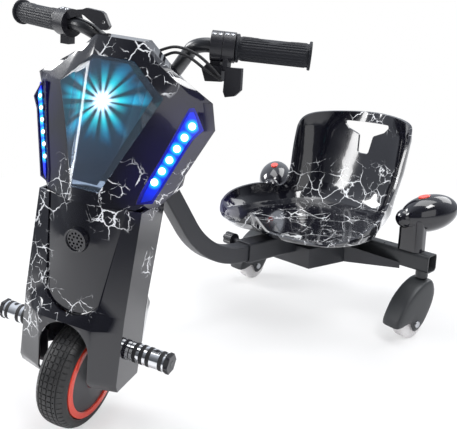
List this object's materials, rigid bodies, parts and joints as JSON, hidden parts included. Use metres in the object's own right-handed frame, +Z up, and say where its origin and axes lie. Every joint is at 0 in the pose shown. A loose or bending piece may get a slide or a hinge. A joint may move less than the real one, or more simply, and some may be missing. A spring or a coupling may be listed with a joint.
{
  "type": "electric drift scooter",
  "caption": "Three-wheeled electric drift scooter with a steered hub-motor front wheel, bucket seat, telescopic frame and two rear swivel casters.",
  "frame": {"origin": "centre of the underside of the overall box, on the ground, as parked with the steering turned", "axes": "+Z up, the front of the scooter towards -Y, the rider's left towards +X"},
  "size_m": [0.5348, 0.9191, 0.6849],
  "materials": {
    "black_paint": "semi-gloss",
    "bright_steel": "plated",
    "black_steel": "gloss",
    "black_plastic": "fine grain",
    "seat_plastic": "fine grain",
    "gloss_black": "gloss with white crack pattern",
    "smoked_lens": "tinted",
    "blue_lamp": "translucent",
    "red_lamp": "translucent",
    "chrome": "polished",
    "soft_rubber": "matte",
    "tyre_rubber": "matte",
    "red_paint": "gloss",
    "grey_metal": "satin",
    "roller": "polyurethane tread"
  },
  "bodies": {
    "rear_frame": {"main_sleeve": "black_paint", "clamp_knob": "black_plastic", "seat_box": "black_paint", "cross_tube": "black_paint", "gusset_plates": "black_paint", "seat_mount": "black_paint", "seat_shell": "seat_plastic", "pod_post_left": "black_plastic", "pod_post_right": "black_plastic", "pod_body_left": "gloss_black", "pod_body_right": "gloss_black", "pod_noses": "chrome", "pod_lamps": "red_lamp"},
    "front_tube": {"bent_tube": "black_paint", "head_tube": "black_paint"},
    "fork": {"fork_frame": "black_paint", "kingpin": "bright_steel", "wheel_axle": "bright_steel", "head_fairing": "gloss_black", "lens": "smoked_lens", "star_lamp": "black_plastic", "led_strip_left": "blue_lamp", "led_strip_right": "blue_lamp", "centre_panel": "gloss_black", "speaker_grille": "black_plastic", "fork_cover": "gloss_black", "rear_shell": "gloss_black", "peg_left": "chrome", "peg_right": "chrome", "peg_rubbers": "soft_rubber", "handlebar": "black_steel", "bar_clamp": "black_paint", "grip_left": "soft_rubber", "grip_right": "soft_rubber", "throttle_lever": "black_plastic", "switch_collar": "black_plastic", "brake_lever": "black_plastic", "cables": "soft_rubber"},
    "front_wheel": {"tyre": "tyre_rubber", "rim": "red_paint", "hub_motor": "grey_metal"},
    "caster_left": {"caster_hood_left": "black_plastic", "caster_bolt_left": "bright_steel"},
    "caster_right": {"caster_hood_right": "black_plastic", "caster_bolt_right": "bright_steel"},
    "roller_left": {"caster_wheel_left": "roller"},
    "roller_right": {"caster_wheel_right": "roller"}
  },
  "joints": [
    {"name": "frame_slide", "type": "slide", "parent": "rear_frame", "child": "front_tube", "axis": [0, -0.9976, 0.0698], "range_m": [-0.01, 0.05]},
    {"name": "steering", "type": "hinge", "parent": "front_tube", "child": "fork", "pos_m": [0, -0.22067, 0.45707], "axis": [0, 0.2924, 0.9563], "range_deg": [-70, 20]},
    {"name": "front_wheel_spin", "type": "hinge", "parent": "fork", "child": "front_wheel", "pos_m": [0.01697, -0.37023, 0.09237], "axis": [0.9063, 0.4042, -0.1236], "continuous": true},
    {"name": "caster_swivel_left", "type": "hinge", "parent": "rear_frame", "child": "caster_left", "pos_m": [0.2346, 0.32917, 0.14407], "axis": [0, 0, 1], "continuous": true},
    {"name": "caster_swivel_right", "type": "hinge", "parent": "rear_frame", "child": "caster_right", "pos_m": [-0.2346, 0.32917, 0.14407], "axis": [0, 0, 1], "continuous": true},
    {"name": "caster_wheel_spin_left", "type": "hinge", "parent": "caster_left", "child": "roller_left", "pos_m": [0.22998, 0.29629, 0.0356], "axis": [0.9903, -0.1392, 0], "continuous": true},
    {"name": "caster_wheel_spin_right", "type": "hinge", "parent": "caster_right", "child": "roller_right", "pos_m": [-0.23547, 0.29598, 0.0356], "axis": [0.9997, -0.0262, 0], "continuous": true}
  ]
}
